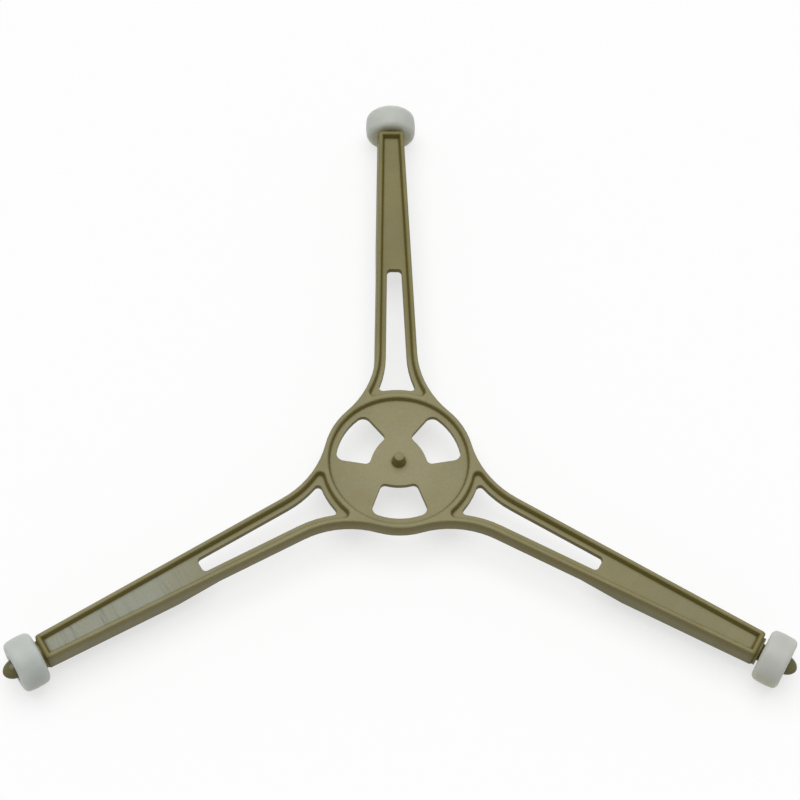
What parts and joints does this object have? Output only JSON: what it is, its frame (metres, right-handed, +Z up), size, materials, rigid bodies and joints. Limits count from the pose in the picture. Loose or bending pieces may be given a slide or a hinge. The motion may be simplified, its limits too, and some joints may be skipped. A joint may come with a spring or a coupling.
{
  "type": "turntable roller support",
  "caption": "Three-arm microwave turntable support: dished hub with fan windows and a centre peg, slotted tapering arms, free-spinning crowned rollers on the arm ends.",
  "frame": {"origin": "on the hub's axis, at the plane that the three rollers stand on", "axes": "+Z up along the hub's axis, towards the tray; +Y along the rear arm; +X to the right in the picture"},
  "size_m": [0.2018, 0.178, 0.0141],
  "materials": {
    "frame_plastic": "khaki heat-resistant moulded plastic, satin, with fine scuffs on the arm floors",
    "roller_plastic": "milky white slippery plastic, slightly translucent, satin"
  },
  "bodies": {
    "frame": {"arm_frame": "frame_plastic"},
    "rear_roller": {"roller_rear": "roller_plastic"},
    "left_roller": {"roller_left": "roller_plastic"},
    "right_roller": {"roller_right": "roller_plastic"}
  },
  "joints": [
    {"name": "rear_roller_spin", "type": "hinge", "parent": "frame", "child": "rear_roller", "pos_m": [0, 0.1095, 0.00705], "axis": [0, 1, 0], "continuous": true},
    {"name": "left_roller_spin", "type": "hinge", "parent": "frame", "child": "left_roller", "pos_m": [-0.09483, -0.05475, 0.00705], "axis": [-0.866, -0.5, 0], "continuous": true},
    {"name": "right_roller_spin", "type": "hinge", "parent": "frame", "child": "right_roller", "pos_m": [0.09483, -0.05475, 0.00705], "axis": [0.866, -0.5, 0], "continuous": true}
  ]
}
